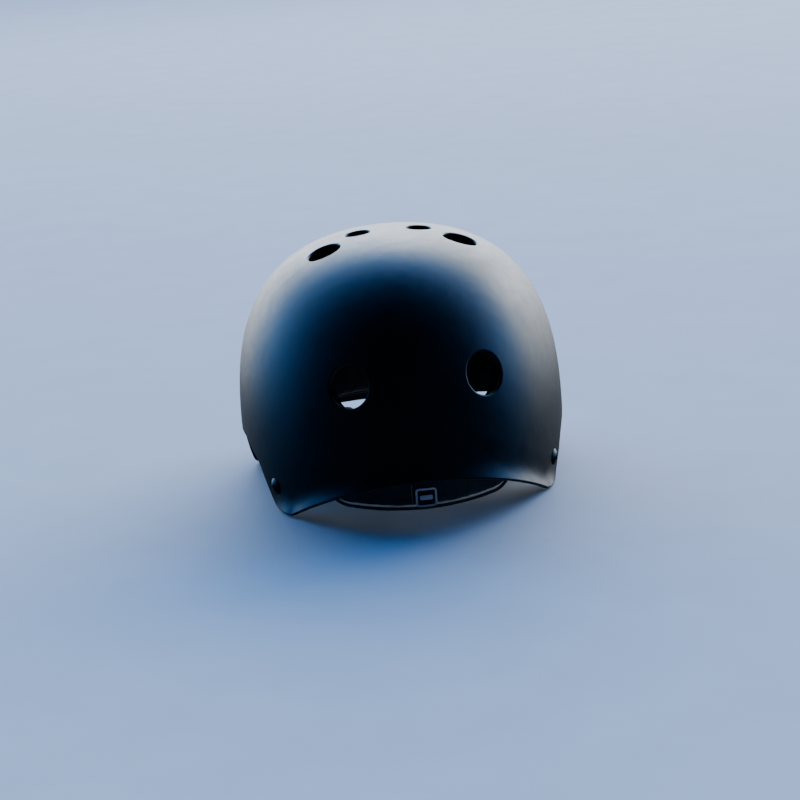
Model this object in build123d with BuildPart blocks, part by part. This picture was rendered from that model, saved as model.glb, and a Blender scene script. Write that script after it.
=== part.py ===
"""Water sports helmet: moulded shell, foam liner, comfort pads and a webbing chin harness.

Millimetres, +Z up, front toward -Y, the wearer's left toward +X. The origin lies on the
surface that the rim rests on, under the middle of the helmet.
"""
from build123d import *

import math
import os

os.makedirs("parts", exist_ok=True)

# ---- Shell: a dome whose half sizes are given at its widest level ----
HALF_WIDTH = 111.0
HALF_LENGTH = 133.5
CROWN_RISE = 127.3
WIDEST_Z = 42.3
CENTRE_Y = -0.1
REAR_WIDENING = 0.10
FULLNESS_3 = 0.019
FULLNESS_5 = -0.017
SHELL_WALL = 3.0
SKIRT_POLAR = 116.0
SHELL_GRID = 48
FOAM_GRID = 24

# ---- Lower edge, seen from the side as (y from the dome centre, z, corner radius) ----
EDGE_CORNERS = [
    (-76.6, 0.0, 10.0),
    (-52.2, 0.0, 16.0),
    (-36.2, 27.0, 16.0),
    (-12.2, 38.0, 30.0),
    (11.8, 38.0, 30.0),
    (35.8, 27.0, 16.0),
    (48.8, 0.0, 12.0),
    (70.0, 0.0, 10.0),
    (92.0, 22.0, 16.0),
    (118.0, 17.0, 50.0),
]
BRIM_SLOPE = 0.557
NAPE_SLOPE = -0.1
NAPE_START = 66.0
NAPE_RUN = 30.0
NAPE_RISE = 19.0
LIP_FLARE = 5.0
LIP_HEIGHT = 15.0
LIP_START, LIP_RUN = 42.0, 32.0
NAPE_FLARE = 2.5
NAPE_FLARE_START, NAPE_FLARE_RUN = 60.0, 40.0
EDGE_ROUND = 1.0

# ---- Vents: azimuth, angle from the crown, radius ----
VENTS = [
    (-62.6, 66.8, 14.1),
    (-14.3, 24.6, 11.6),
    (17.6, 11.2, 8.6),
    (48.0, 38.0, 11.6),
    (62.6, 66.8, 14.1),
]
VENT_RIM_ROUND = 1.2
VENT_FOAM_MARGIN = 3.0
HOLE_REACH = 30.0
SEAT_MARGIN = 0.5

# ---- Liner and pads ----
LAYER_GAP = 0.5
LINER_WALL = 11.0
LINER_EDGE_RISE = 8.0
PAD_WALL = 7.0
PAD_GAP = 0.6
PAD_CORNER = 14.0
DOT_RADIUS = 9.0
DOT_THICK = 1.0
DOT_CLEARANCE = 0.3
LABEL_WIDTH = 14.0
LABEL_HEIGHT = 13.0
LABEL_THICK = 0.6
LABEL_POLAR = 102.8

# Pad sizes are (width, height); each is cut to its outline seen along one axis from inside.
FRONT_PAD, FRONT_PAD_Z = (124.0, 44.0), 31.0
REAR_PAD, REAR_PAD_Z = (104.0, 46.0), 50.0
CROWN_PAD, CROWN_PAD_Y = (52.0, 58.0), -33.0
SIDE_PAD, SIDE_PAD_Y, SIDE_PAD_Z = (88.0, 40.0), 4.0, 74.0

# ---- Strap anchors: azimuth and angle from the crown ----
FRONT_ANCHOR = (-26.2, 101.7)
REAR_ANCHOR = (28.0, 101.7)
SEAT_DEPTH = 0.35
SCREW_HEAD_RADIUS = 5.6
SCREW_HEAD_RISE = 2.4
SHANK_RADIUS = 2.45
SHANK_CLEARANCE = 0.1
DRIVE_WIDTH = 1.3
DRIVE_SPAN = 5.4
DRIVE_DEPTH = 1.5
WASHER_RADIUS = 8.0
WASHER_THICK = 1.2
NUT_FLATS = 8.0
NUT_THICK = 4.0
ANCHOR_RECESS = 27.0

# ---- Webbing ----
STRAP_WIDTH = 16.0
STRAP_THICK = 1.5
STRAP_STATIONS = 16
STRAP_END = 9.0
STRAP_WALL_GAP = 1.7
WASHER_GAP = 0.4
SLOT_CLEARANCE = 0.45
STRAP_FOOT_Z = 1.2
FIT_GAP = 0.3

# ---- Harness laid inside the helmet: dividers and buckle rest just above the floor ----
HARNESS_Y = 4.0
FLOOR_GAP = 0.5
DIVIDER_X = 61.0
DIVIDER_WIDTH = 28.0
DIVIDER_LENGTH = 38.0
DIVIDER_THICK = 3.2
DIVIDER_CORNER = 6.0
SIDE_SLOT_X = 57.5
SIDE_SLOT_Y = 14.5
INNER_SLOT_X = 50.5
LEVER_PIN_X = 72.0
LEVER_PIN_Z = 6.6
LEVER_PIN_RADIUS = 1.0
PIN_CLEARANCE = 0.05
LEVER_LENGTH = 16.0
LEVER_WIDTH = 15.0
LEVER_THICK = 2.0
LEVER_BARREL_RADIUS = 2.3
LUG_THICK = 2.0

BUCKLE_WIDTH = 25.0
BUCKLE_HEIGHT = 7.4
BUCKLE_LENGTH = 33.0
BUCKLE_WALL = 2.5
BUCKLE_FLOOR = 1.6
SOCKET_DEPTH = 20.0
WINDOW_FRONT = -7.9
WINDOW_BACK = -18.0
BUCKLE_BAR_X = -29.5
MALE_START = 0.4
MALE_END = 25.0
MALE_HEIGHT = 6.4
MALE_FAR_SLOT = 21.5
MALE_NEAR_SLOT = 17.0
UNDER_BAR_TOP = 3.0
PRONG_HEIGHT = 3.6
PRONG_PIVOT_X = 2.0
PRONG_PIVOT_Y = 7.6
PRONG_ROOT_RADIUS = 1.3
TONGUE_WIDTH = 4.8
TONGUE_TIP = -16.0
ARCH_TOP = 45.0
KEEPER_WALL = 1.6
KEEPER_HEIGHT = 6.0
KEEPER_START = 4.0
LAYER_PITCH = 2.1

LEFT, RIGHT = 1, -1
liner_inset = SHELL_WALL + LAYER_GAP
pad_inset = liner_inset + LINER_WALL + PAD_GAP


# ---------------------------------------------------------------- dome surface

def meridian(polar):
    """Radius and height of the dome's unit section at an angle from the crown, in radians."""
    scale = 1 - FULLNESS_3 + FULLNESS_5
    radius = math.sin(polar) + FULLNESS_3 * math.sin(3 * polar) + FULLNESS_5 * math.sin(5 * polar)
    height = math.cos(polar) - FULLNESS_3 * math.cos(3 * polar) + FULLNESS_5 * math.cos(5 * polar)
    return radius / scale, height / scale


def dome_point(azimuth, polar, inset=0.0):
    """Point of the dome, moved inward by inset; both angles are in radians."""
    radius, height = meridian(polar)
    across = radius * math.cos(azimuth)
    along = radius * math.sin(azimuth)
    return Vector(
        (HALF_WIDTH - inset) * across * (1 + REAR_WIDENING * along),
        (HALF_LENGTH - inset) * along + CENTRE_Y,
        WIDEST_Z + (CROWN_RISE - inset) * height,
    )


def dome_plane(azimuth, polar, inset=0.0):
    """Plane touching the dome, its Z pointing outward and its Y up; angles in degrees."""
    turn, lean, step = math.radians(azimuth), math.radians(polar), 1e-4
    origin = dome_point(turn, lean, inset)
    sideways = dome_point(turn + step, lean, inset) - origin
    downward = dome_point(turn, lean + step, inset) - origin
    return Plane(origin=origin, x_dir=sideways, z_dir=downward.cross(sideways))


def smooth_step(value):
    value = min(1.0, max(0.0, value))
    return value * value * (3 - 2 * value)


def lip_push(y, z):
    """How far the rim flares outward: a concave lip along the brim and a softer one at the nape."""
    def rise_share(edge_z):
        share = max(0.0, 1 - (z - edge_z) / LIP_HEIGHT)
        return share * share if share < 1 else 2 * share - 1
    brim_z = max(0.0, BRIM_SLOPE * (EDGE_CORNERS[0][0] - y))
    nape_z = NAPE_RISE * smooth_step((y - NAPE_START) / NAPE_RUN)
    brim = LIP_FLARE * smooth_step((-y - LIP_START) / LIP_RUN) * rise_share(brim_z)
    nape = NAPE_FLARE * smooth_step((y - NAPE_FLARE_START) / NAPE_FLARE_RUN) * rise_share(nape_z)
    return brim + nape


def skin(inset, flared=False):
    """Open dome face on a square grid wrapped over the crown, finer where the rim flares."""
    grid = SHELL_GRID if flared else FOAM_GRID
    rows = []
    for i in range(grid + 1):
        row = []
        for j in range(grid + 1):
            u, v = 2 * i / grid - 1, 2 * j / grid - 1
            across, along = u * math.sqrt(1 - v * v / 2), v * math.sqrt(1 - u * u / 2)
            azimuth = math.atan2(along, across)
            point = dome_point(azimuth, math.hypot(across, along) * math.radians(SKIRT_POLAR), inset)
            if flared:
                push = lip_push(point.Y - CENTRE_Y, point.Z)
                point += Vector(math.cos(azimuth), math.sin(azimuth), 0) * push
            row.append(point)
        rows.append(row)
    return Face.make_surface_from_array_of_points(rows, tol=0.05, min_deg=3, max_deg=3)


def layer(inset, thickness, flared=False):
    """Closed layer of the dome, from inset inward by thickness."""
    return Solid.thicken(skin(inset, flared), -thickness)


def edge_sketch(rise):
    """Everything below the rim's side outline, raised by rise, on the YZ plane."""
    reach = HALF_LENGTH + 40
    first, last = EDGE_CORNERS[0], EDGE_CORNERS[-1]
    front = (-reach, first[1] + BRIM_SLOPE * (first[0] + reach) + rise)
    back = (reach, last[1] + NAPE_SLOPE * (reach - last[0]) + rise)
    corners = [(y, z + rise) for y, z, radius in EDGE_CORNERS]
    with BuildSketch(Plane(origin=(0, CENTRE_Y, 0), x_dir=(0, 1, 0), z_dir=(1, 0, 0))) as below:
        with BuildLine():
            FilletPolyline(front, *corners, back, radius=[radius for y, z, radius in EDGE_CORNERS])
            Polyline(back, (reach, -reach), (-reach, -reach), front)
        make_face()
    return below.sketch


def vent_planes():
    for azimuth, polar, radius in VENTS:
        for plane in (dome_plane(azimuth, polar), dome_plane(180 - azimuth, polar)):
            yield plane, radius


def anchor_planes():
    for azimuth, polar in (FRONT_ANCHOR, REAR_ANCHOR):
        for turned in (azimuth, 180 - azimuth):
            yield dome_plane(turned, polar)


def lowered(plane, depth):
    """The plane moved inward along its own normal."""
    return plane.offset(-depth)


# ---------------------------------------------------------------- shell and liner

with BuildPart() as outer_shell:
    add(layer(0, SHELL_WALL, flared=True))
    extrude(edge_sketch(0), amount=2 * HALF_WIDTH, both=True, mode=Mode.SUBTRACT)
    fillet([edge for edge in edges() if edge.length > SHELL_WALL + 1], EDGE_ROUND)
    for vent_plane, vent_radius in vent_planes():
        with Locations(vent_plane):
            Cylinder(vent_radius, HOLE_REACH, mode=Mode.SUBTRACT)
    vent_level = WIDEST_Z + CROWN_RISE * meridian(math.radians(max(polar for _, polar, _ in VENTS)))[1] / 2
    fillet([edge for edge in edges() if edge.center().Z > vent_level], VENT_RIM_ROUND)
    for anchor in anchor_planes():
        with Locations(anchor):
            Cylinder(SHANK_RADIUS + SHANK_CLEARANCE, HOLE_REACH, mode=Mode.SUBTRACT)
        with Locations(lowered(anchor, SEAT_DEPTH)):
            Cylinder(SCREW_HEAD_RADIUS + SEAT_MARGIN, HOLE_REACH / 2, mode=Mode.SUBTRACT,
                     align=(Align.CENTER, Align.CENTER, Align.MIN))

# Hook-and-loop dots hold each pad to the liner, sunk in round sockets of the foam: azimuth, polar angle.
DOTS = [
    (-90 - 15, 84), (-90 + 15, 84),
    (90 - 15, 76), (90 + 15, 76),
    (-12, 66), (14, 66), (180 + 12, 66), (180 - 14, 66),
    (-90, 27), (-90, 11),
]


def dot_columns(radius):
    with BuildPart() as columns:
        for azimuth, polar in DOTS:
            with Locations(dome_plane(azimuth, polar, pad_inset)):
                Cylinder(radius, 4 * DOT_THICK)
    return columns.part


dot_columns_free = dot_columns(DOT_RADIUS + DOT_CLEARANCE)
dot_sockets = dot_columns_free & layer(pad_inset - PAD_GAP - DOT_THICK - LAYER_GAP, 2 * DOT_THICK)

with BuildPart() as foam_liner:
    add(layer(liner_inset, LINER_WALL))
    extrude(edge_sketch(LINER_EDGE_RISE), amount=2 * HALF_WIDTH, both=True, mode=Mode.SUBTRACT)
    for vent_plane, vent_radius in vent_planes():
        with Locations(vent_plane):
            Cylinder(vent_radius + VENT_FOAM_MARGIN, 2 * HOLE_REACH, mode=Mode.SUBTRACT)
    for anchor in anchor_planes():
        with Locations(anchor):
            Cylinder(ANCHOR_RECESS, 2 * HOLE_REACH, mode=Mode.SUBTRACT)
    add(dot_sockets, mode=Mode.SUBTRACT)

with BuildPart() as hook_dots:
    add(dot_columns(DOT_RADIUS) & layer(pad_inset - 0.1 - DOT_THICK, DOT_THICK))


# ---------------------------------------------------------------- comfort pads

def pad(plane, width, height, length):
    """Pad layer cut to a rounded rectangle seen along the plane's normal."""
    with BuildPart() as block:
        with BuildSketch(plane):
            RectangleRounded(width, height, PAD_CORNER)
        extrude(amount=length)
        add(layer(pad_inset, PAD_WALL), mode=Mode.INTERSECT)
    return block.part


front_facing = Plane(origin=(0, 0, FRONT_PAD_Z), x_dir=(1, 0, 0), z_dir=(0, -1, 0))
rear_facing = Plane(origin=(0, 0, REAR_PAD_Z), x_dir=(-1, 0, 0), z_dir=(0, 1, 0))
upward = Plane(origin=(0, CROWN_PAD_Y, WIDEST_Z), x_dir=(1, 0, 0), z_dir=(0, 0, 1))
left_facing = Plane(origin=(0, SIDE_PAD_Y, SIDE_PAD_Z), x_dir=(0, 1, 0), z_dir=(LEFT, 0, 0))
right_facing = Plane(origin=(0, SIDE_PAD_Y, SIDE_PAD_Z), x_dir=(0, -1, 0), z_dir=(RIGHT, 0, 0))

with BuildPart() as front_pad:
    add(pad(front_facing, *FRONT_PAD, 2 * HALF_LENGTH))
with BuildPart() as rear_pad:
    add(pad(rear_facing, *REAR_PAD, 2 * HALF_LENGTH))
with BuildPart() as crown_pad:
    add(pad(upward, *CROWN_PAD, 2 * CROWN_RISE))
with BuildPart() as left_pad:
    add(pad(left_facing, *SIDE_PAD, 2 * HALF_WIDTH))
with BuildPart() as right_pad:
    add(pad(right_facing, *SIDE_PAD, 2 * HALF_WIDTH))

with BuildPart() as pad_label:
    with Locations(dome_plane(-90, LABEL_POLAR, pad_inset)):
        Box(LABEL_WIDTH, LABEL_HEIGHT, 8)
    add(layer(pad_inset - 0.1 - LABEL_THICK, LABEL_THICK), mode=Mode.INTERSECT)


# ---------------------------------------------------------------- anchor hardware

strap_depth = SHELL_WALL + STRAP_WALL_GAP
washer_depth = strap_depth + STRAP_THICK + WASHER_GAP
nut_depth = washer_depth + WASHER_THICK
shank_length = nut_depth + NUT_THICK + 0.6 - SEAT_DEPTH


head_edge = 0.5
cap_rise = SCREW_HEAD_RISE - head_edge
cap_radius = (SCREW_HEAD_RADIUS ** 2 + cap_rise ** 2) / (2 * cap_rise)

with BuildPart() as truss_screw:
    Cylinder(SCREW_HEAD_RADIUS, SCREW_HEAD_RISE, align=(Align.CENTER, Align.CENTER, Align.MIN))
    with Locations((0, 0, SCREW_HEAD_RISE - cap_radius)):
        Sphere(cap_radius, mode=Mode.INTERSECT)
    Cylinder(SHANK_RADIUS, shank_length, align=(Align.CENTER, Align.CENTER, Align.MAX))
    with BuildSketch(Plane.XY.offset(SCREW_HEAD_RISE)):
        Rectangle(DRIVE_SPAN, DRIVE_WIDTH)
        Rectangle(DRIVE_WIDTH, DRIVE_SPAN)
    extrude(amount=-DRIVE_DEPTH, mode=Mode.SUBTRACT)


front_anchors = list(anchor_planes())[:2]
rear_anchors = list(anchor_planes())[2:]

with BuildPart() as temple_screws:
    for anchor in front_anchors:
        add(lowered(anchor, SEAT_DEPTH).location * truss_screw.part)
with BuildPart() as rear_screws:
    for anchor in rear_anchors:
        add(lowered(anchor, SEAT_DEPTH).location * truss_screw.part)

with BuildPart() as anchor_washers:
    for anchor in anchor_planes():
        with BuildSketch(lowered(anchor, washer_depth)):
            Circle(WASHER_RADIUS)
            Circle(SHANK_RADIUS + SHANK_CLEARANCE, mode=Mode.SUBTRACT)
        extrude(amount=-WASHER_THICK)

with BuildPart() as anchor_nuts:
    for anchor in anchor_planes():
        with BuildSketch(lowered(anchor, nut_depth)):
            RegularPolygon(NUT_FLATS / 2, 6, major_radius=False)
            Circle(SHANK_RADIUS + 0.05, mode=Mode.SUBTRACT)
        extrude(amount=-NUT_THICK)


# ---------------------------------------------------------------- side straps

def webbing(points, leaving, width_start, width_end):
    """Flat strap along a curve through the points, its width turning evenly from start to end."""
    path = Spline(*points, tangents=[leaving, Vector(0, 0, -1)])
    with BuildPart() as strap:
        for station in range(STRAP_STATIONS + 1):
            share = station / STRAP_STATIONS
            travel = path % share
            across = width_start * (1 - share) + width_end * share
            across -= travel * across.dot(travel)
            with BuildSketch(Plane(origin=path @ share, x_dir=across, z_dir=travel)):
                Rectangle(STRAP_WIDTH, STRAP_THICK)
        loft(ruled=True)
    return strap.part


# Side straps: climb and lean over the wall, then bow outward and spread above the divider.
STRAP_CLIMB, STRAP_LEAN = 24.0, 10.0
STRAP_BOW, STRAP_SPREAD, STRAP_BEND_Z = 4.0, 6.0, 26.0


def side_strap(anchor, side, toward_rear):
    """Strap from an anchor, up along the wall, over and down into the divider on its side."""
    out = anchor.z_dir
    climb = Vector(0, -0.75 * toward_rear, 0.66)
    climb = (climb - out * climb.dot(out)).normalized()
    base = anchor.origin - out * (strap_depth + STRAP_THICK / 2)
    peel = base + climb * STRAP_END
    slot_y = HARNESS_Y + toward_rear * SIDE_SLOT_Y
    points = [
        peel,
        base + climb * STRAP_CLIMB - out * STRAP_LEAN,
        Vector(side * (SIDE_SLOT_X + STRAP_BOW), slot_y + toward_rear * STRAP_SPREAD, STRAP_BEND_Z),
        Vector(side * SIDE_SLOT_X, slot_y, STRAP_FOOT_Z),
    ]
    with BuildPart() as strap:
        with BuildSketch(Plane(origin=base, x_dir=climb, z_dir=out)):
            Rectangle(2 * STRAP_END, STRAP_WIDTH)
            Circle(SHANK_RADIUS + 0.4, mode=Mode.SUBTRACT)
        extrude(amount=STRAP_THICK / 2, both=True)
        add(webbing(points, climb, out.cross(climb) * side, Vector(side * toward_rear, 0, 0)))
    return strap.part


with BuildPart() as front_strap_left:
    add(side_strap(front_anchors[0], LEFT, -1))
with BuildPart() as front_strap_right:
    add(side_strap(front_anchors[1], RIGHT, -1))
with BuildPart() as rear_strap_left:
    add(side_strap(rear_anchors[0], LEFT, 1))
with BuildPart() as rear_strap_right:
    add(side_strap(rear_anchors[1], RIGHT, 1))


# ---------------------------------------------------------------- strap dividers with lock levers

slot_length = STRAP_WIDTH + 2 * SLOT_CLEARANCE
slot_width = STRAP_THICK + 2 * SLOT_CLEARANCE
divider_top = FLOOR_GAP + DIVIDER_THICK
lug_y = LEVER_WIDTH / 2 + FIT_GAP + LUG_THICK / 2

with BuildPart() as divider_left:
    with BuildSketch(Plane.XY.offset(FLOOR_GAP)):
        with Locations((DIVIDER_X, HARNESS_Y)):
            RectangleRounded(DIVIDER_WIDTH, DIVIDER_LENGTH, DIVIDER_CORNER)
        with Locations((SIDE_SLOT_X, HARNESS_Y - SIDE_SLOT_Y), (SIDE_SLOT_X, HARNESS_Y + SIDE_SLOT_Y)):
            Rectangle(slot_length, slot_width, mode=Mode.SUBTRACT)
        with Locations((INNER_SLOT_X, HARNESS_Y)):
            Rectangle(slot_width, slot_length, mode=Mode.SUBTRACT)
    extrude(amount=DIVIDER_THICK)
    fillet(edges().group_by(Axis.Z)[-1].sort_by(SortBy.LENGTH)[-1:], 0.8)
    for side in (-1, 1):
        with BuildSketch(Plane.XZ.offset(-(HARNESS_Y + side * lug_y + LUG_THICK / 2))):
            with Locations((LEVER_PIN_X, LEVER_PIN_Z)):
                Circle(LEVER_BARREL_RADIUS)
            with Locations((LEVER_PIN_X, (LEVER_PIN_Z + divider_top - 1) / 2)):
                Rectangle(2 * LEVER_BARREL_RADIUS, LEVER_PIN_Z - divider_top + 1)
            with Locations((LEVER_PIN_X, LEVER_PIN_Z)):
                Circle(LEVER_PIN_RADIUS, mode=Mode.SUBTRACT)
        extrude(amount=LUG_THICK)

with BuildPart() as lever_left:
    with BuildSketch(Plane.XZ.offset(-(HARNESS_Y + LEVER_WIDTH / 2))):
        with Locations((LEVER_PIN_X, LEVER_PIN_Z)):
            Circle(LEVER_BARREL_RADIUS)
        with Locations((LEVER_PIN_X - LEVER_LENGTH / 2, LEVER_PIN_Z + 0.4)):
            RectangleRounded(LEVER_LENGTH, LEVER_THICK, 0.8)
        with Locations((LEVER_PIN_X, LEVER_PIN_Z)):
            Circle(LEVER_PIN_RADIUS + PIN_CLEARANCE, mode=Mode.SUBTRACT)
    extrude(amount=LEVER_WIDTH)

with BuildPart() as lever_pins:
    for side in (LEFT, RIGHT):
        with Locations(Pos(side * LEVER_PIN_X, HARNESS_Y, LEVER_PIN_Z) * Rot(90, 0, 0)):
            Cylinder(LEVER_PIN_RADIUS, 2 * (lug_y + LUG_THICK / 2))

with BuildPart() as divider_right:
    add(mirror(divider_left.part, about=Plane.YZ))
with BuildPart() as lever_right:
    add(mirror(lever_left.part, about=Plane.YZ))


# ---------------------------------------------------------------- side-release buckle

buckle_middle_z = FLOOR_GAP + BUCKLE_HEIGHT / 2


def centred_box(x_low, x_high, width, height, **options):
    """Box between two x positions, centred on the buckle's axis."""
    with Locations(((x_low + x_high) / 2, HARNESS_Y, buckle_middle_z)):
        Box(x_high - x_low, width, height, **options)


cavity_width = BUCKLE_WIDTH - 2 * BUCKLE_WALL
cavity_height = BUCKLE_HEIGHT - 2 * BUCKLE_FLOOR

with BuildPart() as buckle_socket:
    centred_box(-BUCKLE_LENGTH, 0, BUCKLE_WIDTH, BUCKLE_HEIGHT)
    fillet(edges().filter_by(Axis.Z), 3.0)
    fillet(edges().group_by(Axis.Z)[-1] + edges().group_by(Axis.Z)[0], 1.4)
    centred_box(-SOCKET_DEPTH, 1, cavity_width, cavity_height, mode=Mode.SUBTRACT)
    centred_box(WINDOW_BACK, WINDOW_FRONT, BUCKLE_WIDTH + 2, cavity_height, mode=Mode.SUBTRACT)
    centred_box(BUCKLE_BAR_X - slot_width / 2, BUCKLE_BAR_X + slot_width / 2, slot_length,
                BUCKLE_HEIGHT + 2, mode=Mode.SUBTRACT)

with BuildPart() as buckle_plug:
    centred_box(MALE_START, MALE_END, BUCKLE_WIDTH, MALE_HEIGHT)
    fillet(edges().filter_by(Axis.Z).group_by(Axis.X)[-1], 4.0)
    fillet(edges().group_by(Axis.Z)[-1] + edges().group_by(Axis.Z)[0], 1.0)
    centred_box(TONGUE_TIP, MALE_START + 1, TONGUE_WIDTH, PRONG_HEIGHT)
    for slot_x in (MALE_FAR_SLOT, MALE_NEAR_SLOT):
        centred_box(slot_x - slot_width / 2, slot_x + slot_width / 2, slot_length, 20, mode=Mode.SUBTRACT)
    with Locations(((MALE_FAR_SLOT + MALE_NEAR_SLOT) / 2, HARNESS_Y, UNDER_BAR_TOP)):
        Box(MALE_FAR_SLOT - MALE_NEAR_SLOT + slot_width, slot_length, 10,
            align=(Align.CENTER, Align.CENTER, Align.MAX), mode=Mode.SUBTRACT)
    for side in (-1, 1):
        with Locations((PRONG_PIVOT_X, HARNESS_Y + side * PRONG_PIVOT_Y, buckle_middle_z)):
            Box(4.0, 4.4, PRONG_HEIGHT + 2 * FIT_GAP, mode=Mode.SUBTRACT)

# Outline of one spring arm from its root to its barb: (x, distance from the buckle's axis).
PRONG_OUTLINE = [
    (2.0, 6.3), (2.0, 8.9), (-6.5, 9.3), (-7.9, 9.7), (-9.9, 10.1), (-11.9, 10.75), (-13.9, 11.5),
    (-16.1, 10.2), (-16.1, 8.4), (-8.0, 7.2),
]


def prong(side):
    with BuildPart() as arm:
        with BuildSketch(Plane.XY.offset(buckle_middle_z - PRONG_HEIGHT / 2)):
            with BuildLine():
                Polyline(*[(x, HARNESS_Y + side * y) for x, y in PRONG_OUTLINE], close=True)
            make_face()
            with Locations((PRONG_PIVOT_X, HARNESS_Y + side * PRONG_PIVOT_Y)):
                Circle(PRONG_ROOT_RADIUS)
        extrude(amount=PRONG_HEIGHT)
    return arm.part


with BuildPart() as prong_front:
    add(prong(-1))
with BuildPart() as prong_rear:
    add(prong(1))


# ---------------------------------------------------------------- chin straps, tail and keeper

def upright_band(points, radii):
    """Webbing that stands on its edge lines in a fold, drawn from the side and as wide as the strap."""
    with BuildPart() as band:
        with BuildSketch(Plane.XZ.offset(-(HARNESS_Y + STRAP_WIDTH / 2))):
            with BuildLine():
                fold = FilletPolyline(*points, radius=radii)
            trace(fold, STRAP_THICK)
        extrude(amount=STRAP_WIDTH)
    return band.part


# Chin webbing: it stands up from each bar to a shoulder, leans in and crosses at the top of its arch.
SHOULDER_Z = 12.0
ARCH_LEAN = 3.0
SHOULDER_BEND, ARCH_BEND = 20.0, 7.0

with BuildPart() as chin_strap_right:
    add(upright_band(
        [(-INNER_SLOT_X, STRAP_FOOT_Z), (-INNER_SLOT_X, SHOULDER_Z), (-INNER_SLOT_X + ARCH_LEAN, ARCH_TOP),
         (BUCKLE_BAR_X - ARCH_LEAN, ARCH_TOP), (BUCKLE_BAR_X, SHOULDER_Z), (BUCKLE_BAR_X, STRAP_FOOT_Z)],
        [SHOULDER_BEND, ARCH_BEND, ARCH_BEND, SHOULDER_BEND]))

# The adjustable side folds under the plug's two bars, and its tail rises beside the leg.
LEG_OFFSET, LEG_LEAN = 2.0, 7.5
UNDER_BAR_Z = 1.7
TAIL_TURN_Z = 8.5
TAIL_ADVANCE, TAIL_END = 2.0, 25.0
leg_foot = Vector(MALE_FAR_SLOT + LEG_OFFSET, 0, SHOULDER_Z)
leg_head = Vector(leg_foot.X + LEG_LEAN, 0, ARCH_TOP - 1)
leg_along = (leg_head - leg_foot).normalized()
leg_aside = Vector(-leg_along.Z, 0, leg_along.X)


def beside(point, distance, advance=0.0):
    """Point of the tail layer, beside the rising leg of the left chin strap."""
    moved = point + leg_aside * distance + leg_along * advance
    return moved.X, moved.Z


with BuildPart() as chin_strap_left:
    add(upright_band(
        [(INNER_SLOT_X, STRAP_FOOT_Z), (INNER_SLOT_X, SHOULDER_Z), (INNER_SLOT_X - 5, ARCH_TOP + 1),
         (leg_head.X, leg_head.Z + 1), (leg_foot.X, leg_foot.Z), (MALE_FAR_SLOT, 8),
         (MALE_FAR_SLOT, UNDER_BAR_Z), (MALE_NEAR_SLOT, UNDER_BAR_Z), (MALE_NEAR_SLOT, TAIL_TURN_Z),
         beside(leg_foot, LAYER_PITCH, TAIL_ADVANCE), beside(leg_foot, LAYER_PITCH, TAIL_END)],
        [20, 6, 6, 4, 4, 0.9, 0.9, 3, 4]))

keeper_origin = leg_foot + leg_aside * LAYER_PITCH / 2 + leg_along * (KEEPER_START + KEEPER_HEIGHT / 2)
keeper_inner = LAYER_PITCH + STRAP_THICK + 2 * FIT_GAP

with BuildPart() as strap_keeper:
    with BuildSketch(Plane(origin=(keeper_origin.X, HARNESS_Y, keeper_origin.Z), x_dir=(0, 1, 0),
                           z_dir=leg_along)):
        RectangleRounded(STRAP_WIDTH + 2 * FIT_GAP + 2 * KEEPER_WALL, keeper_inner + 2 * KEEPER_WALL, 1.8)
        Rectangle(STRAP_WIDTH + 2 * FIT_GAP, keeper_inner, mode=Mode.SUBTRACT)
    extrude(amount=KEEPER_HEIGHT / 2, both=True)


# ---------------------------------------------------------------- write every piece

PIECES = {
    "outer_shell": outer_shell,
    "foam_liner": foam_liner,
    "hook_dots": hook_dots,
    "front_pad": front_pad,
    "rear_pad": rear_pad,
    "left_pad": left_pad,
    "right_pad": right_pad,
    "crown_pad": crown_pad,
    "pad_label": pad_label,
    "temple_screws": temple_screws,
    "rear_screws": rear_screws,
    "anchor_washers": anchor_washers,
    "anchor_nuts": anchor_nuts,
    "front_strap_left": front_strap_left,
    "front_strap_right": front_strap_right,
    "rear_strap_left": rear_strap_left,
    "rear_strap_right": rear_strap_right,
    "divider_left": divider_left,
    "divider_right": divider_right,
    "lever_left": lever_left,
    "lever_right": lever_right,
    "lever_pins": lever_pins,
    "chin_strap_left": chin_strap_left,
    "chin_strap_right": chin_strap_right,
    "buckle_socket": buckle_socket,
    "buckle_plug": buckle_plug,
    "prong_front": prong_front,
    "prong_rear": prong_rear,
    "strap_keeper": strap_keeper,
}

for name, piece in PIECES.items():
    piece.part.label = name
    export_step(piece.part, f"parts/{name}.step")
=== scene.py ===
"""Looks of the water helmet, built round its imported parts. Metres, front toward -Y, wearer's left +X."""

import math

import bmesh
import bpy
from mathutils import Matrix, Vector


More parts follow.
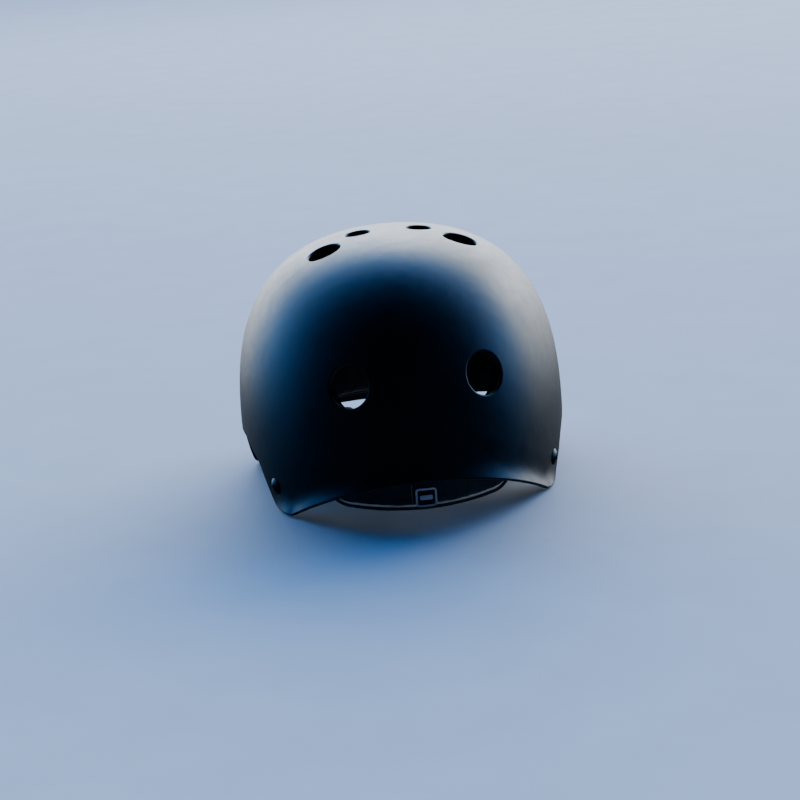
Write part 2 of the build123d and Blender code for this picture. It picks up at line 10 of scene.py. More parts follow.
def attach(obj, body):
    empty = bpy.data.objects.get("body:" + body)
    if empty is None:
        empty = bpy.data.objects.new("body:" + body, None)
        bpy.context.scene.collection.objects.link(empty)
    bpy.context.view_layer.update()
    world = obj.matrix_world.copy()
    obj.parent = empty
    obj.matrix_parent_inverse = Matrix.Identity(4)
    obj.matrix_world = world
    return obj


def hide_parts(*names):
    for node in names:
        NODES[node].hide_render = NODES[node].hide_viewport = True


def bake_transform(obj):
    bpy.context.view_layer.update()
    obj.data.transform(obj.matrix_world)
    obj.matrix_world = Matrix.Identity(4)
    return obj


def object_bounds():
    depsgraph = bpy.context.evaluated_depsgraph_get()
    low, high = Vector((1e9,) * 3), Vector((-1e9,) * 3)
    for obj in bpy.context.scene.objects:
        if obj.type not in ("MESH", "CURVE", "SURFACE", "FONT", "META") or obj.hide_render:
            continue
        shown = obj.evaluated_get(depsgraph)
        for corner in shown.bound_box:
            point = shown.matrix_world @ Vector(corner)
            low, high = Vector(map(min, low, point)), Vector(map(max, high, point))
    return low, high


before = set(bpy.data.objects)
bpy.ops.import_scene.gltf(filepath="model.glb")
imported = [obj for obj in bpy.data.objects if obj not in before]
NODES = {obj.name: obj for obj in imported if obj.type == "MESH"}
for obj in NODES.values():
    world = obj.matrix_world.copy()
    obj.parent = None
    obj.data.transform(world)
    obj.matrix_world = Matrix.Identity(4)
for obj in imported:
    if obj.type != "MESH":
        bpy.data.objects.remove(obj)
cad_low, cad_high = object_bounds()

MM = 0.001
scene = bpy.context.scene

# ---- The dome, as in the part: half sizes at its widest level, in metres ----
HALF_WIDTH = 0.111
HALF_LENGTH = 0.1335
CROWN_RISE = 0.1273
CENTRE_SHIFT = 0.0001
WIDEST_Z = cad_high.z - CROWN_RISE
CENTRE_Y = (cad_low.y + cad_high.y) / 2 - CENTRE_SHIFT
REAR_WIDENING = 0.10
FULLNESS_3 = 0.019
FULLNESS_5 = -0.017

PAD_INSET = 15.1 * MM

# Strap anchors: end of the helmet, azimuth and angle from the crown in degrees
ANCHORS = [("front", -26.2, 101.7), ("rear", 28.0, 101.7)]


# ---------------------------------------------------------------- dome and rim formulas

def meridian(polar):
    """Radius and height of the dome's unit section at an angle from the crown."""
    scale = 1 - FULLNESS_3 + FULLNESS_5
    radius = math.sin(polar) + FULLNESS_3 * math.sin(3 * polar) + FULLNESS_5 * math.sin(5 * polar)
    height = math.cos(polar) - FULLNESS_3 * math.cos(3 * polar) + FULLNESS_5 * math.cos(5 * polar)
    return radius / scale, height / scale


def dome_point(azimuth, polar, inset=0.0):
    """Point of the dome moved inward by inset; angles in radians."""
    radius, height = meridian(polar)
    across = radius * math.cos(azimuth)
    along = radius * math.sin(azimuth)
    return Vector((
        (HALF_WIDTH - inset) * across * (1 + REAR_WIDENING * along),
        (HALF_LENGTH - inset) * along + CENTRE_Y,
        WIDEST_Z + (CROWN_RISE - inset) * height,
    ))


def dome_angles(point, inset=0.0):
    """Azimuth and polar angle of the dome point on the ray from the dome's centre through point."""
    along = (point.y - CENTRE_Y) / (HALF_LENGTH - inset)
    across = point.x / ((HALF_WIDTH - inset) * (1 + REAR_WIDENING * along))
    wanted = math.atan2(math.hypot(across, along), (point.z - WIDEST_Z) / (CROWN_RISE - inset))
    polar = wanted
    for _ in range(5):
        polar += wanted - math.atan2(*meridian(polar))
    return math.atan2(along, across), polar


def dome_frame(azimuth, polar, inset=0.0):
    """Matrix whose Z points out of the dome and whose Y points up it; angles in degrees."""
    turn, lean, step = math.radians(azimuth), math.radians(polar), 1e-4
    origin = dome_point(turn, lean, inset)
    sideways = (dome_point(turn + step, lean, inset) - origin).normalized()
    downward = (dome_point(turn, lean + step, inset) - origin).normalized()
    outward = downward.cross(sideways).normalized()
    upward = outward.cross(sideways)
    rotation = Matrix((sideways, upward, outward)).transposed().to_4x4()
    return Matrix.Translation(origin) @ rotation


def rounded_path(stops, radii, steps=8):
    """Polyline through the stops with each inner corner turned into a bend of its radius."""
    points = [stops[0]]
    for before, corner, after, radius in zip(stops, stops[1:], stops[2:], radii):
        incoming, outgoing = (corner - before).normalized(), (after - corner).normalized()
        tangent = radius * math.tan(incoming.angle(outgoing) / 2)
        for step in range(steps + 1):
            share = step / steps
            early, late = corner - incoming * tangent * (1 - share), corner + outgoing * tangent * share
            points.append(early.lerp(late, share))
    points.append(stops[-1])
    return points


# ---------------------------------------------------------------- mesh helpers

def new_piece(name, bm, material, smooth=True):
    """Turns a bmesh into an object that stands at the origin with one material."""
    mesh = bpy.data.meshes.new(name)
    bm.to_mesh(mesh)
    bm.free()
    for polygon in mesh.polygons:
        polygon.use_smooth = smooth
    piece = bpy.data.objects.new(name, mesh)
    scene.collection.objects.link(piece)
    piece.data.materials.append(material)
    return piece


def add_modifier(piece, kind, **settings):
    """Adds a modifier with its settings."""
    modifier = piece.modifiers.new(kind.lower(), kind)
    for key, value in settings.items():
        setattr(modifier, key, value)
    return modifier


def ride(piece, body, slot, *nodes):
    """Hangs a piece on its body and hides the CAD nodes it stands for. The finish given as slot is not used.
    """
    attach(piece, body)
    if nodes:
        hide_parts(*nodes)
    return piece


def level_point(origin, direction, inset):
    """Point where a line from inside the dome meets its surface at that inset."""
    middle = Vector((0, CENTRE_Y, WIDEST_Z))
    low, high = 0.0, 0.3
    for _ in range(30):
        reach = (low + high) / 2
        point = origin + direction * reach
        surface = dome_point(*dome_angles(point, inset), inset)
        inside = (point - middle).length < (surface - middle).length
        low, high = (reach, high) if inside else (low, reach)
    return point


def ribbon(name, path, across, width, material, thick=1.5 * MM):
    """Flat strap along path, its width laid along the across directions, with UVs in metres."""
    bm = bmesh.new()
    columns, rows = len(path) - 1, 8
    bmesh.ops.create_grid(bm, x_segments=columns, y_segments=rows, size=1)
    uv = bm.loops.layers.uv.new("cloth")
    lengths = [0.0]
    for before, after in zip(path, path[1:]):
        lengths.append(lengths[-1] + (after - before).length)
    place = {vert: (round((vert.co.x + 1) / 2 * columns), vert.co.y * width / 2) for vert in bm.verts}
    for face in bm.faces:
        for loop in face.loops:
            column, aside = place[loop.vert]
            loop[uv].uv = (aside, lengths[column])
    for vert, (column, aside) in place.items():
        vert.co = path[column] + across[column] * aside
    piece = new_piece(name, bm, material)
    add_modifier(piece, "SOLIDIFY", thickness=thick, offset=0, use_even_offset=False)
    add_modifier(piece, "BEVEL", width=0.3 * MM, segments=2, limit_method="ANGLE", angle_limit=1.0)
    return piece


def spline_path(points, leaving, arriving, per_span=14):
    """Smooth curve through the points, with the slope at each end given."""
    spans = [(after - before).length for before, after in zip(points, points[1:])]
    slopes = [leaving.normalized()] + [(b - a).normalized() for a, b in zip(points, points[2:])]
    slopes.append(arriving.normalized())
    for _ in range(40):
        for i in range(1, len(points) - 1):
            near, far = spans[i - 1], spans[i]
            pull = 3 * (far * (points[i] - points[i - 1]) / near + near * (points[i + 1] - points[i]) / far)
            slopes[i] = (pull - far * slopes[i - 1] - near * slopes[i + 1]) / (2 * (near + far))
    path = []
    for i, span in enumerate(spans):
        for step in range(per_span):
            t = step / per_span
            path.append(points[i] * (2 * t**3 - 3 * t**2 + 1) + slopes[i] * span * (t**3 - 2 * t**2 + t)
                        + points[i + 1] * (3 * t**2 - 2 * t**3) + slopes[i + 1] * span * (t**3 - t**2))
    return path + [points[-1]]


def turned_widths(path, start, end, held=0):
    """Width directions square to the path: start over the held points, then turning evenly to end."""
    across = []
    for index, point in enumerate(path):
        share = max(0, index - held) / (len(path) - 1 - held)
        travel = (path[min(index + 1, len(path) - 1)] - path[max(index - 1, 0)]).normalized()
        width = start * (1 - share) + end * share
        across.append((width - travel * width.dot(travel)).normalized())
    return across


def thread_run(name, spots, length, thickness, material):
    """Sewing stitches: one small rounded bar at each (place, direction, outward)."""
    bm = bmesh.new()
    for point, along, outward in spots:
        side = outward.cross(along).normalized()
        turn = Matrix((along.normalized(), side, along.normalized().cross(side))).transposed().to_4x4()
        size = Matrix.Diagonal((length / 2, thickness / 2, thickness / 2, 1))
        bmesh.ops.create_uvsphere(bm, u_segments=6, v_segments=4, radius=1,
                                  matrix=Matrix.Translation(point) @ turn @ size)
    return new_piece(name, bm, material)


# ---------------------------------------------------------------- materials

def colour(hex_value):
    """sRGB hex to the linear RGBA that shaders take."""
    channels = [int(hex_value[i:i + 2], 16) / 255 for i in (1, 3, 5)]
    return (*[c / 12.92 if c <= 0.04045 else ((c + 0.055) / 1.055) ** 2.4 for c in channels], 1.0)


def add_node(tree, kind, inputs=(), **settings):
    """Adds a node; each input is a constant or another node's output."""
    node = tree.nodes.new(kind)
    for key, value in settings.items():
        setattr(node, key, value)
    for key, value in dict(inputs).items():
        if isinstance(value, bpy.types.NodeSocket):
            tree.links.new(value, node.inputs[key])
        else:
            node.inputs[key].default_value = value
    return node


def start_material(name, **finish):
    """New material with the constants of its finish on the shader's own sockets."""
    material = bpy.data.materials.new(name)
    material.use_nodes = True
    tree = material.node_tree
    shader = tree.nodes["Principled BSDF"]
    for key, value in finish.items():
        shader.inputs[key.replace("_", " ")].default_value = value
    return material, tree, tree.nodes.new("ShaderNodeTexCoord")


def dress(tree, base, roughness=None, height=None, depth_mm=0.0):
    """Joins a material's colour, roughness and surface relief to its shader."""
    shader = tree.nodes["Principled BSDF"]
    tree.links.new(base, shader.inputs["Base Color"])
    if roughness:
        tree.links.new(roughness, shader.inputs["Roughness"])
    if height:
        bump = add_node(tree, "ShaderNodeBump", {"Height": height, "Distance": depth_mm * MM})
        tree.links.new(bump.outputs["Normal"], shader.inputs["Normal"])


def between(tree, pattern, low, high, start=0.35, stop=0.65):
    """Two colours, or two numbers, mixed where the pattern runs from start to stop."""
    share = add_node(tree, "ShaderNodeMapRange", {"Value": pattern, "From Min": start, "From Max": stop})
    if isinstance(low, str):
        mix = add_node(tree, "ShaderNodeMix", {0: share.outputs[0], 6: colour(low), 7: colour(high)},
                       data_type="RGBA")
        return mix.outputs[2]
    mix = add_node(tree, "ShaderNodeMix", {0: share.outputs[0], 2: low, 3: high}, data_type="FLOAT")
    return mix.outputs[0]


def spots_of(size_mm):
    """Scale of a noise or cell pattern whose spots are size_mm across."""
    return 1000.0 / size_mm


def stripes_of(period_mm):
    """Scale of a wave pattern whose stripes repeat every period_mm."""
    return math.pi * 100.0 / period_mm


def moulded_abs():
    """ABS, injection moulded in a fine spark-eroded tool: dark, with a wide soft sheen and faint rubs."""
    material, tree, where = start_material("satin_moulded_abs", IOR=1.54, Specular_IOR_Level=0.4,
                                           Coat_Weight=0.1, Coat_Roughness=0.22)
    spot = where.outputs["Object"]
    cloud = add_node(tree, "ShaderNodeTexNoise", {"Vector": spot, "Scale": spots_of(40), "Detail": 4.0})
    rubs = add_node(tree, "ShaderNodeTexNoise", {"Vector": spot, "Scale": spots_of(9), "Detail": 7.0,
                                                 "Roughness": 0.68})
    grain = add_node(tree, "ShaderNodeTexNoise", {"Vector": spot, "Scale": spots_of(0.5), "Detail": 2.0})
    dress(tree, between(tree, cloud.outputs["Fac"], "#0a1215", "#0d161a"),
          between(tree, rubs.outputs["Fac"], 0.31, 0.39), grain.outputs["Fac"], 0.01)
    return material


def eva_foam():
    """EVA foam cut from sheet: closed cells about a millimetre across under a thin dull skin."""
    material, tree, where = start_material("closed_cell_eva_foam", IOR=1.48, Roughness=0.84)
    spot = where.outputs["Object"]
    cells = add_node(tree, "ShaderNodeTexVoronoi", {"Vector": spot, "Scale": spots_of(1.0)})
    cloud = add_node(tree, "ShaderNodeTexNoise", {"Vector": spot, "Scale": spots_of(16), "Detail": 4.0})
    dress(tree, between(tree, cloud.outputs["Fac"], "#17181a", "#232527"), None,
          cells.outputs["Distance"], 0.14)
    return material


def brushed_knit(name, level):
    """Polyester knit laminated to foam: rows of 1.2 mm loops under a soft nap. Level pads run their rows
    along Y, pads on the wall run them round the head."""
    material, tree, where = start_material(name, Roughness=0.93, Sheen_Weight=0.3, Sheen_Roughness=0.45)
    spot = where.outputs["Object"]
    parts = add_node(tree, "ShaderNodeSeparateXYZ", {"Vector": spot})
    if level:
        rows, columns = parts.outputs["X"], parts.outputs["Y"]
    else:
        turn = add_node(tree, "ShaderNodeMath", {0: parts.outputs["Y"], 1: parts.outputs["X"]},
                        operation="ARCTAN2")
        round_head = add_node(tree, "ShaderNodeMath", {0: turn.outputs[0], 1: HALF_WIDTH},
                              operation="MULTIPLY")
        rows, columns = parts.outputs["Z"], round_head.outputs[0]
    waves = []
    for place, period in ((rows, 1.2), (columns, 0.95)):
        turns = add_node(tree, "ShaderNodeMath", {0: place, 1: 2 * math.pi / (period * MM)},
                         operation="MULTIPLY")
        wave = add_node(tree, "ShaderNodeMath", {0: turns.outputs[0]}, operation="COSINE")
        waves.append(wave.outputs[0])
    loops = add_node(tree, "ShaderNodeMath", {0: waves[0], 1: waves[1]}, operation="MULTIPLY")
    nap = add_node(tree, "ShaderNodeTexNoise", {"Vector": spot, "Scale": spots_of(0.8), "Detail": 5.0,
                                                "Roughness": 0.7})
    pile = add_node(tree, "ShaderNodeMath", {0: loops.outputs[0], 1: 0.22, 2: nap.outputs["Fac"]},
                    operation="MULTIPLY_ADD")
    wear = add_node(tree, "ShaderNodeTexNoise", {"Vector": spot, "Scale": spots_of(22), "Detail": 3.0})
    shade = add_node(tree, "ShaderNodeMath", {0: wear.outputs["Fac"], 1: 0.5, 2: pile.outputs[0]},
                     operation="MULTIPLY_ADD")
    dress(tree, between(tree, shade.outputs[0], "#101113", "#303237", 0.45, 1.15), None, pile.outputs[0], 0.3)
    return material


def woven_webbing():
    """Polypropylene webbing: slanting ribs about 1.6 mm apart that lean opposite ways each side of centre."""
    material, tree, where = start_material("woven_polypropylene_webbing", Roughness=0.6, Sheen_Weight=0.2)
    parts = add_node(tree, "ShaderNodeSeparateXYZ", {"Vector": where.outputs["UV"]})
    aside = add_node(tree, "ShaderNodeMath", {0: parts.outputs["X"]}, operation="ABSOLUTE")
    slant = add_node(tree, "ShaderNodeMath", {0: aside.outputs[0], 1: parts.outputs["Y"]}, operation="ADD")
    waves = []
    for place, period in ((slant.outputs[0], 1.6), (parts.outputs["X"], 1.3)):
        turns = add_node(tree, "ShaderNodeMath", {0: place, 1: 2 * math.pi / (period * MM)},
                         operation="MULTIPLY")
        wave = add_node(tree, "ShaderNodeMath", {0: turns.outputs[0]}, operation="COSINE")
        waves.append(wave.outputs[0])
    weave = add_node(tree, "ShaderNodeMath", {0: waves[0], 1: waves[1]}, operation="MULTIPLY")
    fuzz = add_node(tree, "ShaderNodeTexNoise", {"Vector": where.outputs["Object"], "Scale": spots_of(0.7),
                                                 "Detail": 3.0})
    yarn = add_node(tree, "ShaderNodeMath", {0: weave.outputs[0], 1: 0.25, 2: fuzz.outputs["Fac"]},
                    operation="MULTIPLY_ADD")
    dress(tree, between(tree, yarn.outputs[0], "#111214", "#34363b", 0.2, 0.85), None, yarn.outputs[0], 0.25)
    return material


def grained_solid(name, low, high, roughness, patch_mm, grain_mm, depth_mm, **finish):
    """Moulded or machined solid: two near colours, an uneven gloss and a fine grain of its own size."""
    material, tree, where = start_material(name, **finish)
    spot = where.outputs["Object"]
    patch = add_node(tree, "ShaderNodeTexNoise", {"Vector": spot, "Scale": spots_of(patch_mm), "Detail": 4.0})
    grain = add_node(tree, "ShaderNodeTexNoise", {"Vector": spot, "Scale": spots_of(grain_mm), "Detail": 2.0})
    dress(tree, between(tree, patch.outputs["Fac"], low, high),
          between(tree, patch.outputs["Fac"], roughness - 0.06, roughness + 0.08),
          grain.outputs["Fac"], depth_mm)
    return material


def label_weave():
    """Damask label: pale polyester threads 0.4 mm apart, drawn 0.7 mm apart so that they show."""
    material, tree, where = start_material("woven_pale_label", Roughness=0.75, Sheen_Weight=0.15)
    stripes = {"Vector": where.outputs["Object"], "Scale": stripes_of(0.7)}
    waves = [add_node(tree, "ShaderNodeTexWave", stripes, bands_direction=axis).outputs["Fac"]
             for axis in ("X", "Z")]
    weave = add_node(tree, "ShaderNodeMath", {0: waves[0], 1: waves[1]}, operation="MULTIPLY")
    dress(tree, between(tree, weave.outputs[0], "#a9aeb8", "#dfe2e8", 0.1, 0.8), None, weave.outputs[0], 0.06)
    return material


def hook_tape():
    """Hook tape: a dense field of nylon hooks a little over a millimetre apart."""
    material, tree, where = start_material("nylon_hook_tape", Roughness=0.55)
    hooks = add_node(tree, "ShaderNodeTexVoronoi",
                     {"Vector": where.outputs["Object"], "Scale": spots_of(1.2)})
    dress(tree, between(tree, hooks.outputs["Distance"], "#2c2e31", "#0d0e0f", 0.1, 0.6), None,
          hooks.outputs["Distance"], 0.5)
    return material


SHELL_ABS = moulded_abs()
FOAM = eva_foam()
WALL_KNIT = brushed_knit("brushed_polyester_knit", level=False)
CROWN_KNIT = brushed_knit("brushed_polyester_knit_crown", level=True)
WEBBING = woven_webbing()
LABEL = label_weave()
HOOKS = hook_tape()
# Acetal: dense moulded plastic with a waxy gloss over a fine spark-eroded grain
ACETAL = grained_solid("moulded_acetal", "#15171a", "#1d2024", 0.36, 5, 0.35, 0.02, IOR=1.48)
# Soft rubber: the same black, but dull
RUBBER = grained_solid("moulded_rubber", "#111214", "#1a1b1d", 0.72, 6, 0.5, 0.03, IOR=1.5)
# Black oxide on steel: a dark blue-grey metal finish, a little uneven
BLACK_STEEL = grained_solid("black_oxide_steel", "#33373c", "#4a4f55", 0.34, 2, 0.3, 0.008, Metallic=1.0)
# Stainless washers and nuts: turned, bright, softly brushed by the tool
STAINLESS = grained_solid("turned_stainless_steel", "#a9abad", "#c6c8ca", 0.28, 2, 0.25, 0.006, Metallic=1.0)
# Satin ground of the label: close black polyester
LABEL_SATIN = grained_solid("black_label_satin", "#0d0e10", "#17181b", 0.6, 3, 0.35, 0.05)
# Sewing thread: twisted polyester, a shade lighter than the cloth it holds
PALE_THREAD = grained_solid("pale_polyester_thread", "#7d8086", "#9b9ea4", 0.6, 1.5, 0.2, 0.05)
THREAD = grained_solid("bonded_polyester_thread", "#2c2e32", "#43464b", 0.6, 1.5, 0.2, 0.05)


# ---------------------------------------------------------------- comfort pads

def depth_in(point, inset):
    """How far a point lies inside the dome level at that inset, along the ray from the centre."""
    middle = Vector((0, CENTRE_Y, WIDEST_Z))
    surface = dome_point(*dome_angles(point, inset), inset)
    return (surface - middle).length - (point - middle).length


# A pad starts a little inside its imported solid, is held along its back, and swells by no more than PAD_SWELL
PAD_START_INSET = 0.5 * MM
PAD_VOXEL = 4 * MM
PAD_HELD_DEPTH = 2.2 * MM
PAD_SWELL = 3.0 * MM
PAD_PRESSURE = 4.0
PAD_FRAMES = 20
PAD_CORNER = 14 * MM
BINDING_DEPTH, BINDING_RADIUS, BINDING_STEP = 1.6 * MM, 1.1 * MM, 1.5 * MM
SEAM_DEPTH, SEAM_INSET, SEAM_STEP = 6.4 * MM, 4.5 * MM, 3.2 * MM


def plump(node):
    """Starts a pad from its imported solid, a little smaller and evenly meshed, held along its back."""
    bm = bmesh.new()
    bm.from_mesh(NODES[node].data)
    bmesh.ops.remove_doubles(bm, verts=bm.verts, dist=1e-5)
    bm.normal_update()
    for vert, normal in [(vert, vert.normal.copy()) for vert in bm.verts]:
        vert.co -= normal * PAD_START_INSET
    start = new_piece(f"{node}_start", bm, WALL_KNIT)
    add_modifier(start, "REMESH", mode="VOXEL", voxel_size=PAD_VOXEL)
    depsgraph = bpy.context.evaluated_depsgraph_get()
    mesh = bpy.data.meshes.new_from_object(start.evaluated_get(depsgraph))
    bpy.data.objects.remove(start)
    pad = bpy.data.objects.new(f"{node}_cushion", mesh)
    scene.collection.objects.link(pad)
    held = pad.vertex_groups.new(name="held")
    back = [vert.index for vert in mesh.vertices if depth_in(vert.co, PAD_INSET) < PAD_HELD_DEPTH]
    held.add(back, 1.0, "REPLACE")
    return pad


def swell(pads):
    """Inflates every pad as cloth at once, then keeps each point near where it began."""
    starts = {pad: [vert.co.copy() for vert in pad.data.vertices] for pad in pads}
    for pad in pads:
        cloth = pad.modifiers.new("cloth", "CLOTH")
        cloth.settings.use_pressure = True
        cloth.settings.uniform_pressure_force = PAD_PRESSURE
        cloth.settings.effector_weights.gravity = 0.0
        cloth.settings.vertex_group_mass = "held"
        cloth.settings.quality = 6
    for number in range(1, PAD_FRAMES + 1):
        scene.frame_set(number)
    depsgraph = bpy.context.evaluated_depsgraph_get()
    for pad in pads:
        grown = bpy.data.meshes.new_from_object(pad.evaluated_get(depsgraph))
        for vert, start in zip(grown.vertices, starts[pad]):
            move = vert.co - start
            if move.length > PAD_SWELL:
                vert.co = start + move.normalized() * PAD_SWELL
        pad.modifiers.clear()
        pad.vertex_groups.clear()
        pad.data = grown
    scene.frame_set(1)


PADS = [
    # node, middle of its outline, width direction, facing, width, height, material
    ("front_pad", (0, 0, 31), (1, 0, 0), (0, -1, 0), 124, 44, WALL_KNIT),
    ("rear_pad", (0, 0, 50), (-1, 0, 0), (0, 1, 0), 104, 46, WALL_KNIT),
    ("crown_pad", (0, -33, 60), (1, 0, 0), (0, 0, 1), 52, 58, CROWN_KNIT),
    ("left_pad", (0, 4, 74), (0, 1, 0), (1, 0, 0), 88, 40, WALL_KNIT),
    ("right_pad", (0, 4, 74), (0, -1, 0), (-1, 0, 0), 88, 40, WALL_KNIT),
]


def pad_outline(middle, wide, facing, width, height, inset, grown, spacing):
    """Evenly spaced points along a pad's rounded outline, laid on the dome at that inset."""
    wide, facing = Vector(wide), Vector(facing)
    tall = facing.cross(wide)
    half_w, half_h = width * MM / 2 + grown, height * MM / 2 + grown
    corner = PAD_CORNER + grown
    flat = []
    for quarter, (sx, sy) in enumerate(((1, 1), (-1, 1), (-1, -1), (1, -1))):
        for step in range(13):
            angle = math.pi / 2 * (quarter + step / 12)
            flat.append(Vector((sx * (half_w - corner) + corner * math.cos(angle),
                                sy * (half_h - corner) + corner * math.sin(angle))))
    flat.append(flat[0])
    spots, left = [], 0.0
    for before, after in zip(flat, flat[1:]):
        run = (after - before).length
        while left < run:
            spots.append(before.lerp(after, left / run))
            left += spacing
        left -= run
    origin = Vector(middle) * MM
    return [level_point(origin + wide * spot.x + tall * spot.y, facing, inset) for spot in spots]


def tube_round(name, points, radius, material):
    """Closed round tube through the points."""
    line = bpy.data.curves.new(name, "CURVE")
    line.dimensions = "3D"
    line.bevel_depth = radius
    line.bevel_resolution = 3
    spline = line.splines.new("POLY")
    spline.points.add(len(points) - 1)
    for target, point in zip(spline.points, points):
        target.co = (*point, 1.0)
    spline.use_cyclic_u = True
    source = bpy.data.objects.new(name, line)
    scene.collection.objects.link(source)
    depsgraph = bpy.context.evaluated_depsgraph_get()
    mesh = bpy.data.meshes.new_from_object(source.evaluated_get(depsgraph))
    bpy.data.objects.remove(source)
    for polygon in mesh.polygons:
        polygon.use_smooth = True
    mesh.materials.clear()
    mesh.materials.append(material)
    piece = bpy.data.objects.new(name, mesh)
    scene.collection.objects.link(piece)
    return piece


cushions = [plump(node) for node, *_ in PADS]
swell(cushions)
for cushion, (node, middle, wide, facing, width, height, material) in zip(cushions, PADS):
    cushion.data.materials.clear()
    cushion.data.materials.append(material)
    for polygon in cushion.data.polygons:
        polygon.use_smooth = True
    add_modifier(cushion, "SUBSURF", levels=1, render_levels=1)
    ride(cushion, "root", "pad_fabric", node)
    edge = pad_outline(middle, wide, facing, width, height, PAD_INSET + BINDING_DEPTH, 0.0, BINDING_STEP)
    ride(tube_round(f"{node}_binding", edge, BINDING_RADIUS, material), "root", "pad_fabric")
    seam = pad_outline(middle, wide, facing, width, height, PAD_INSET + SEAM_DEPTH, -SEAM_INSET, SEAM_STEP)
    spots = [(point, seam[(i + 1) % len(seam)] - seam[i - 1], Vector(facing)) for i, point in enumerate(seam)]
    ride(thread_run(f"{node}_stitching", spots, 2.3 * MM, 0.55 * MM, THREAD), "root", "pad_fabric")


# ---------------------------------------------------------------- woven label

LABEL_POLAR = 102.8
label_place = dome_frame(-90, LABEL_POLAR, PAD_INSET)


def on_pad_face(aside, above, lift):
    """Point on the front pad's outer face, at a place on the label's own plane."""
    flat = label_place @ Vector((aside, above, 0))
    return dome_point(*dome_angles(flat, PAD_INSET - lift), PAD_INSET - lift)


def label_patch(name, half_width, half_height, corner, border, lift, thick, material):
    """Rounded patch of cloth laid on the pad; with a border it is only a frame."""
    bm = bmesh.new()
    bmesh.ops.create_grid(bm, x_segments=1, y_segments=1, size=1)
    for vert in bm.verts:
        vert.co = Vector((vert.co.x * half_width, vert.co.y * half_height, 0))
    bmesh.ops.bevel(bm, geom=list(bm.verts), offset=corner, segments=5, profile=0.5, affect="VERTICES",
                    material=-1)
    if border:
        bmesh.ops.inset_region(bm, faces=list(bm.faces), thickness=border, use_boundary=True,
                               use_even_offset=True)
        middle = min(bm.faces, key=lambda face: face.calc_center_median().length)
        bmesh.ops.delete(bm, geom=[middle], context="FACES_ONLY")
    else:
        bmesh.ops.inset_region(bm, faces=list(bm.faces), thickness=half_height * 0.4, use_boundary=True,
                               use_even_offset=True)
    bmesh.ops.subdivide_edges(bm, edges=list(bm.edges), cuts=2, use_grid_fill=True)
    for vert in bm.verts:
        vert.co = on_pad_face(vert.co.x, vert.co.y, lift)
    bmesh.ops.recalc_face_normals(bm, faces=bm.faces)
    bm.faces.ensure_lookup_table()
    if bm.faces[0].normal.y > 0:
        bmesh.ops.reverse_faces(bm, faces=bm.faces)
    patch = new_piece(name, bm, material)
    add_modifier(patch, "SOLIDIFY", thickness=thick, offset=-1)
    return ride(patch, "root", "label_weave")


label_field = label_patch("label_field", 6.7 * MM, 6.2 * MM, 2.0 * MM, 0.0, 0.45 * MM, 0.4 * MM, LABEL_SATIN)
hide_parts("pad_label")
label_patch("label_frame", 7.0 * MM, 6.5 * MM, 2.4 * MM, 1.3 * MM, 0.75 * MM, 0.5 * MM, LABEL)
label_patch("label_band", 4.2 * MM, 1.6 * MM, 0.8 * MM, 0.0, 0.75 * MM, 0.4 * MM, LABEL)
STITCH_PITCH, SIDE_SEAM_X, SIDE_SEAM_TOP = 1.8 * MM, -9.2 * MM, 4.5
seam_spots = []
for step in range(11):
    spot = on_pad_face(SIDE_SEAM_X, (SIDE_SEAM_TOP - step) * STITCH_PITCH, 0.3 * MM)
    seam_spots.append((spot, Vector((0, 0, 1)), Vector((0, -1, 0))))
ride(thread_run("label_side_seam", seam_spots, 1.4 * MM, 0.5 * MM, PALE_THREAD), "root", "pad_fabric")


# ---------------------------------------------------------------- webbing

STRAP_WIDTH = 16 * MM
STRAP_THICK = 1.5 * MM
STRAP_DEPTH = 4.7 * MM
STRAP_END = 9 * MM
HARNESS_Y = 4 * MM
SIDE_SLOT_X = 57.5 * MM
SIDE_SLOT_Y = 14.5 * MM
STRAP_FOOT_Z = 1.2 * MM
# Side straps: climb and lean over the wall, then bow outward and spread above the divider
STRAP_CLIMB, STRAP_LEAN = 24 * MM, 10 * MM
STRAP_BOW, STRAP_SPREAD, STRAP_BEND_Z = 4 * MM, 6 * MM, 26 * MM
# Bar tacks: rows of slanting stitches at either side of the anchor's hole
TACK_ROWS, TACK_STITCHES, TACK_LENGTH = 2, 10, 11 * MM
TACK_ROW_PITCH, TACK_SLANT, TACK_LIFT = 1.1 * MM, 0.9, 0.15 * MM
TACK_OFFSET = 6.6 * MM


def tack_spots(middle, along, aside, outward):
    """Bar tack: close zigzag stitches across a strap."""
    spots = []
    for row in range(TACK_ROWS):
        for step in range(TACK_STITCHES):
            forward = (row - (TACK_ROWS - 1) / 2) * TACK_ROW_PITCH
            sideways = (step / (TACK_STITCHES - 1) - 0.5) * TACK_LENGTH
            slant = TACK_SLANT if (row + step) % 2 else -TACK_SLANT
            spots.append((middle + along * forward + aside * sideways + outward * TACK_LIFT,
                          aside + along * slant, outward))
    return spots


